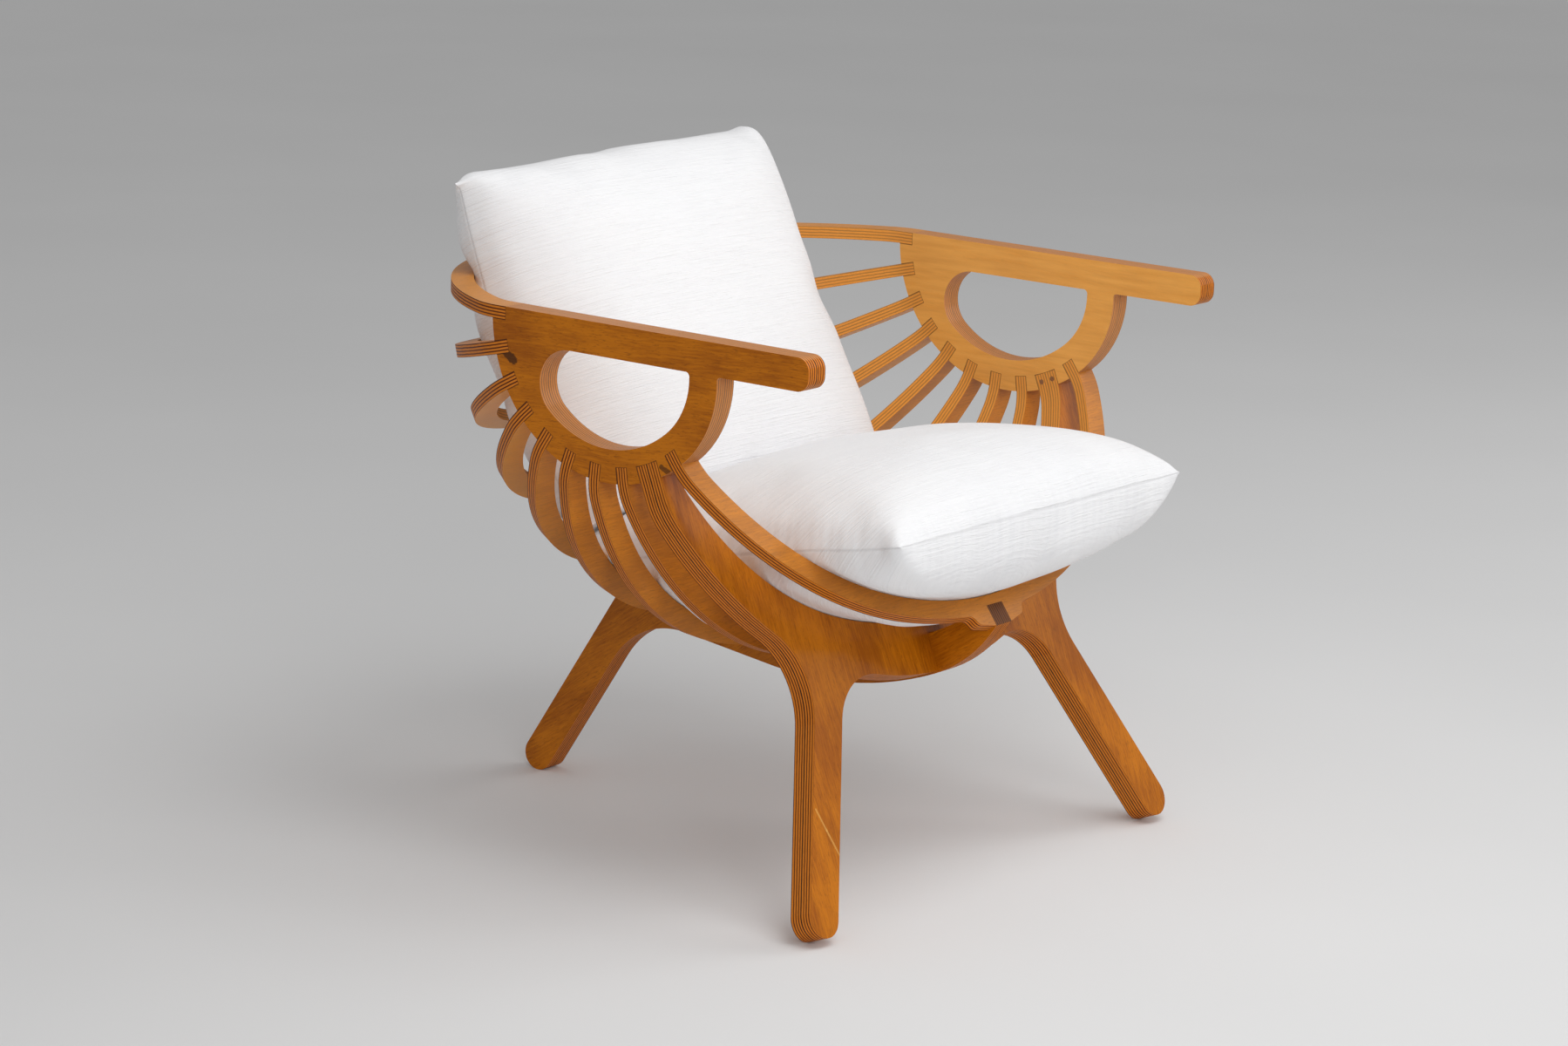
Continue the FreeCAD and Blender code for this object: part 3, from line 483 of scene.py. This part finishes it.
def keep_in_bowl(points, sag, seed):
    """Presses points back to the hoops' inner edges and the bulges between the hoops."""
    y = points[:, 1] - FAN_AXIS.y
    z = points[:, 2] - FAN_AXIS.z
    reach, angle = np.hypot(y, z), np.degrees(np.arctan2(-z, y))
    limit = farthest(points[:, 0], reach, angle, sag, seed)
    scale = np.where(reach > limit, limit / reach, 1.0)
    points[:, 1] = FAN_AXIS.y + y * scale
    points[:, 2] = FAN_AXIS.z + z * scale
    return points


def sewn_panels(half_x, half_u):
    """Two flat grids that share their border: places from -1 to 1, side and faces."""
    count_x = round(2 * half_x / CLOTH_STEP)
    count_u = round(2 * half_u / CLOTH_STEP)
    rows = [np.linspace(-1, 1, count + 1) for count in (count_x, count_u)]
    # the rows lie closer together towards the rounded edges
    rows = [0.4 * row + 0.6 * np.sin(row * math.pi / 2) for row in rows]
    x, u = np.meshgrid(*rows, indexing="ij")
    inner = (slice(1, -1), slice(1, -1))
    upper = np.arange(x.size).reshape(x.shape)
    lower = upper.copy()
    lower[inner] = x.size + np.arange(lower[inner].size).reshape(lower[inner].shape)
    faces = []
    for i in range(count_x):
        for j in range(count_u):
            for sheet, order in ((upper, (0, 1, 2, 3)), (lower, (0, 3, 2, 1))):
                ring = (sheet[i, j], sheet[i + 1, j], sheet[i + 1, j + 1], sheet[i, j + 1])
                faces.append([int(ring[k]) for k in order])
    x_all = np.concatenate([x.ravel(), x[inner].ravel()])
    u_all = np.concatenate([u.ravel(), u[inner].ravel()])
    side = np.concatenate([np.ones(x.size), -np.ones(x[inner].size)])
    return x_all, u_all, side, faces


def coords(mesh):
    """A mesh's points as rows."""
    flat = np.empty(len(mesh.vertices) * 3)
    mesh.vertices.foreach_get("co", flat)
    return flat.reshape(-1, 3)


def eased(piece, points, rounds, hold):
    """Averages each point with its neighbours a few times, to soften what was pressed."""
    edges = np.empty(len(piece.data.edges) * 2, dtype=int)
    piece.data.edges.foreach_get("vertices", edges)
    a, b = edges.reshape(-1, 2).T
    count = np.bincount(np.concatenate([a, b]), minlength=len(points))[:, None]
    for _ in range(rounds):
        total = np.zeros_like(points)
        np.add.at(total, a, points[b])
        np.add.at(total, b, points[a])
        points = points * hold + total / count * (1 - hold)
    return points


def blown_up(name, start, flat, faces, cap):
    """Cloth under pressure, from a plump start towards the size of its flat panels."""
    mesh = bpy.data.meshes.new(name)
    mesh.from_pydata(start.tolist(), [], faces)
    piece = bpy.data.objects.new(name, mesh)
    bpy.context.scene.collection.objects.link(piece)
    piece.shape_key_add(name="plump")
    rest = piece.shape_key_add(name="flat")
    rest.data.foreach_set("co", flat.ravel())
    cloth = piece.modifiers.new("blow_up", "CLOTH")
    settings = cloth.settings
    settings.rest_shape_key = rest
    settings.quality = 5
    settings.mass = 0.12
    settings.tension_stiffness = 15
    settings.compression_stiffness = 15
    settings.shear_stiffness = 5
    settings.bending_stiffness = 0.1
    settings.use_pressure = True
    settings.uniform_pressure_force = 4
    settings.effector_weights.gravity = 0
    for tick in range(1, CLOTH_TICKS + 1):
        bpy.context.scene.frame_set(tick)
    shaped = piece.evaluated_get(bpy.context.evaluated_depsgraph_get())
    move = coords(shaped.data) - start
    # the folds are kept, and the slow change of the whole form is left to the filling
    move = eased(piece, move, *FOLD_EASE) - eased(piece, move, *FORM_EASE)
    length = np.linalg.norm(move, axis=1, keepdims=True)
    move = move * np.minimum(1, cap / np.maximum(length, 1e-9))
    piece.modifiers.remove(cloth)
    piece.shape_key_clear()
    bpy.context.scene.frame_set(1)
    piece.data.vertices.foreach_set("co", (start + move).ravel())
    return piece


# the cushions meet in a plane through this point, its y and z given from the fan axis
PRESS_POINT = (0.040, -0.183)
PRESS_ANGLE = math.radians(-38.3)
BEDDINGS = 6


def pressed(points, side):
    """Flattens a cushion where it meets the other one, with a hair's gap between them."""
    normal = np.array([-math.sin(PRESS_ANGLE), math.cos(PRESS_ANGLE)]) * side
    place = points[:, 1:] - np.array(FAN_AXIS)[1:] - np.array(PRESS_POINT)
    past = np.minimum(place @ normal - CLOSE_GAP, 0)
    points[:, 1:] -= past[:, None] * normal
    return points


def plump(x, u, side, kind):
    """The cushion's plump start, and its flat panels with some cloth to spare."""
    ends = np.clip(1 - np.abs(u) ** kind["full"], 0, 1) ** 0.5
    sides = np.clip(1 - np.abs(x) ** SIDE_FULL, 0, 1) ** SIDE_POWER
    rise = np.where(side > 0, kind["over"], -kind["under"]) * ends * sides
    # blunt corners; on the left a share below zero makes ears, where the cushion was pulled
    corner = smooth(np.abs(x * u), *CORNER) ** 2
    wide = x * (1 - np.where(x < 0, kind["ear"], kind["blunt"]) * corner) * CUSHION_HALF
    long = u * (1 - kind["blunt"] * corner) * kind["half"]
    start = np.stack([wide, long, rise], 1)
    apart = side * CLOTH_APART * (ends > 0)
    flat = np.stack([wide * CLOTH_SPARE, long * CLOTH_SPARE, apart], 1)
    return start, flat


def set_down(points, x, kind):
    """Draws in the ends, bends the cushion, tilts it and moves it to its place."""
    wide = np.abs(points[:, 0]).max() / CUSHION_HALF
    across = points[:, 0] / np.maximum(1, wide)
    along = points[:, 1] * (1 - kind["draw"] * (1 - x ** 2))
    up = points[:, 2] + kind["bend"] * (1 - (along / kind["half"]) ** 2)
    angle = math.radians(kind["tilt"])
    y = kind["middle"][0] + along * math.cos(angle) - up * math.sin(angle)
    z = kind["middle"][1] + along * math.sin(angle) + up * math.cos(angle)
    z = z + kind["lift"] * (1 + across / CUSHION_HALF)
    return np.stack([across + kind["shift"], y + FAN_AXIS.y, z + FAN_AXIS.z], 1)


def cushion(name, kind, finish):
    """Sews, blows up, bends and beds one cushion, and gives it its seam.

    Its kind holds lengths in metres: half of its length, how high it stands over and under
    the seam, its bend, its lift, which is none on the left and double on the right, its
    shift across the chair, the cap on how far cloth may move, the sag between hoops, and its
    middle in y and z from the fan axis. Shares are draw, for ends drawn in halfway across,
    and blunt and ear, for the corners on the right and the left. Full says how square both
    ends are, the tilt is in degrees, the seed moves the sag's waves, and press is the side
    of the press plane that it lies on.
    """
    x, u, side, faces = sewn_panels(CUSHION_HALF, kind["half"])
    start, flat = plump(x, u, side, kind)
    piece = blown_up(name, start, flat, faces, kind["cap"])
    seam = np.abs(start[:, 2]) < 1e-9
    points = set_down(coords(piece.data), x, kind)
    for bedding in range(BEDDINGS + 1):
        if bedding:
            points = np.where(seam[:, None], points, eased(piece, points, *FOLD_EASE))
        points = keep_in_bowl(points, kind["sag"], kind["seed"])
        points = pressed(points, kind["press"])
    piece.data.vertices.foreach_set("co", points.ravel())
    across, along = x * CUSHION_HALF, u * kind["half"]
    for label, values in (("seam", seam.astype(float)), ("across", across), ("along", along)):
        mark = piece.data.attributes.new(label, "FLOAT", "POINT")
        mark.data.foreach_set("value", values)
    finer = piece.modifiers.new("finer", "SUBSURF")
    finer.levels = 1
    finer.render_levels = 1
    with bpy.context.temp_override(object=piece, active_object=piece):
        bpy.ops.object.modifier_apply(modifier=finer.name)
    for polygon in piece.data.polygons:
        polygon.use_smooth = True
    piece.data.materials.append(finish)
    return piece


def linen(name, run, half_u):
    """Washed linen: fine slubs along the weave, a seam darkened with painted shade in its
    crease, and soft shading in the folds.

    Its weft lines run across the chair, and follow each other along the run, a y and a z.
    """
    material, wire = material_for(name)
    place = wire.node("ShaderNodeTexCoord", out="Object")
    x, y, z = [dot(place, axis) for axis in AXES]
    down = y * run[0] + z * run[1]
    ripple = noise(x * 12, down * 460, 3.7, 2.0, 0.6)
    slub = noise(x * 90, down * 950, 1.3, 2.0, 0.6)
    cloud = noise(x * 6, y * 6, z * 6, 2.0)
    seam, across, along = [
        wire.node("ShaderNodeAttribute", {"attribute_name": label}, out="Fac")
        for label in ("seam", "across", "along")
    ]
    line = steps(seam, 0.72, 0.98)
    # short soft puckers run in from the seam on all four sides
    side, end = CUSHION_HALF - abs(across), half_u - abs(along)
    near_end = 1 - steps(end, 0.002, PUCKER_REACH)
    near_side = 1 - steps(side, 0.002, PUCKER_REACH)
    pucker = noise(across * 50, end * 9, 0.5, 1.0) * near_end
    pucker = pucker + noise(side * 9, along * 50, 2.5, 1.0) * near_side
    tone = steps(cloud * 0.5 + ripple * 0.5, 0.35, 0.65)
    colour = tinted(tone, LINEN_SHADE, LINEN_LIGHT)
    # painted shade along the seam's crease
    colour = tinted(line * 0.25, colour, LINEN_SEAM_SHADE)
    height = ripple * 0.9 + slub * 0.5 + pucker * 2.2 - line * 0.35
    rough = 0.86 + slub * 0.1
    surface(wire, colour, rough, height, LINEN_RELIEF, LINEN_GLOSS)
    return material


SEAT = {
    "half": 0.231, "over": 0.084, "under": 0.120, "full": 3.0, "bend": 0.0, "draw": 0.02,
    "blunt": 0.012, "ear": 0.012, "tilt": -11.1, "middle": (-0.0735, -0.243),
    "shift": 0.004, "lift": 0.0, "cap": 0.006, "sag": 0.020, "seed": 0.4, "press": -1,
}
seat = cushion("seat_cushion", SEAT, linen("seat_linen", (0.8, 0.6), SEAT["half"]))
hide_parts("seat_cushion_cover", "seat_cushion_pad")
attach(seat, "root")


# Back cushion
# The same cushion again, leaned against the ribs behind and standing on the seat cushion.
# Its own weight bends it into the bowl, and its upper edge stands over the top rail.
BACK = {
    "half": 0.223, "over": 0.092, "under": 0.100, "full": 2.7, "bend": 0.025, "draw": 0.0,
    "blunt": 0.035, "ear": -0.022, "tilt": -118.0, "middle": (0.214, -0.079),
    "shift": 0.001, "lift": 0.004, "cap": 0.0045, "sag": 0.014, "seed": 2.9, "press": 1,
}
back = cushion("back_cushion", BACK, linen("back_linen", (0.47, 0.88), BACK["half"]))
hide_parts("back_cushion_cover", "back_cushion_pad")
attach(back, "root")


# Floor, light and camera
# A wide plain pale floor, soft studio lamps above and beside the chair, and a camera
# where the reference camera stood.
CAMERA_PLACE = Vector((-3.8992, -2.9967, 1.4651))
CAMERA_RIGHT = Vector((0.61297922, -0.78949236, 0.0309563))
CAMERA_UP = Vector((0.1564341, 0.15967707, 0.97469565))
CAMERA_AHEAD = Vector((0.77445778, 0.59262555, -0.22138225))
CAMERA_LENS = 103.69
FLOOR_REACH = 40.0
FLOOR_LIGHT = (0.83, 0.83, 0.83, 1)
FLOOR_DEEP = (0.78, 0.78, 0.78, 1)
FLOOR_RELIEF = 0.0001
LAMP_AIM = Vector((0, 0, 0.4))
WORLD_LIGHT = 0.40


def floor_sheet():
    """A wide round floor."""
    turns = [math.radians(5 * k) for k in range(72)]
    rim = [(FLOOR_REACH * math.cos(a), FLOOR_REACH * math.sin(a), 0) for a in turns]
    mesh = bpy.data.meshes.new("floor")
    mesh.from_pydata(rim, [], [list(range(len(rim)))])
    sheet = bpy.data.objects.new("floor", mesh)
    bpy.context.scene.collection.objects.link(sheet)
    material, wire = material_for("floor_paint")
    place = wire.node("ShaderNodeTexCoord", out="Object")
    x, y, z = [dot(place, axis) for axis in AXES]
    grey = noise(x * 1.5, y * 1.5, z * 1.5, 2.0)
    colour = tinted(grey, FLOOR_DEEP, FLOOR_LIGHT)
    surface(wire, colour, 0.9, grey, FLOOR_RELIEF)
    mesh.materials.append(material)
    return sheet


floor_sheet()


def soft_lamp(name, place, size, power):
    """A round lamp that looks at the chair."""
    lamp = bpy.data.lights.new(name, "AREA")
    lamp.shape = "DISK"
    lamp.size = size
    lamp.energy = power
    holder = bpy.data.objects.new(name, lamp)
    holder.location = place
    aim = LAMP_AIM - Vector(place)
    holder.rotation_euler = aim.to_track_quat("-Z", "Y").to_euler()
    bpy.context.scene.collection.objects.link(holder)


soft_lamp("top_lamp", (-0.15, -1.1, 2.2), 1.6, 19)
soft_lamp("key_lamp", (-2.8, -3.2, 2.1), 2.2, 46)
soft_lamp("side_lamp", (3.2, -2.0, 2.2), 2.6, 34)

world = bpy.data.worlds.new("studio")
world.use_nodes = True
background = world.node_tree.nodes["Background"]
background.inputs["Color"].default_value = (1, 1, 1, 1)
background.inputs["Strength"].default_value = WORLD_LIGHT
bpy.context.scene.world = world
bpy.context.scene.view_settings.view_transform = "Standard"

lens = bpy.data.cameras.new("view")
lens.sensor_fit = "HORIZONTAL"
lens.sensor_width = 36
lens.lens = CAMERA_LENS
lens.clip_end = 60
camera = bpy.data.objects.new("view", lens)
turn = Matrix((CAMERA_RIGHT, CAMERA_UP, -CAMERA_AHEAD)).transposed()
camera.matrix_world = Matrix.Translation(CAMERA_PLACE) @ turn.to_4x4()
bpy.context.scene.collection.objects.link(camera)
bpy.context.scene.camera = camera

bpy.context.view_layer.update()
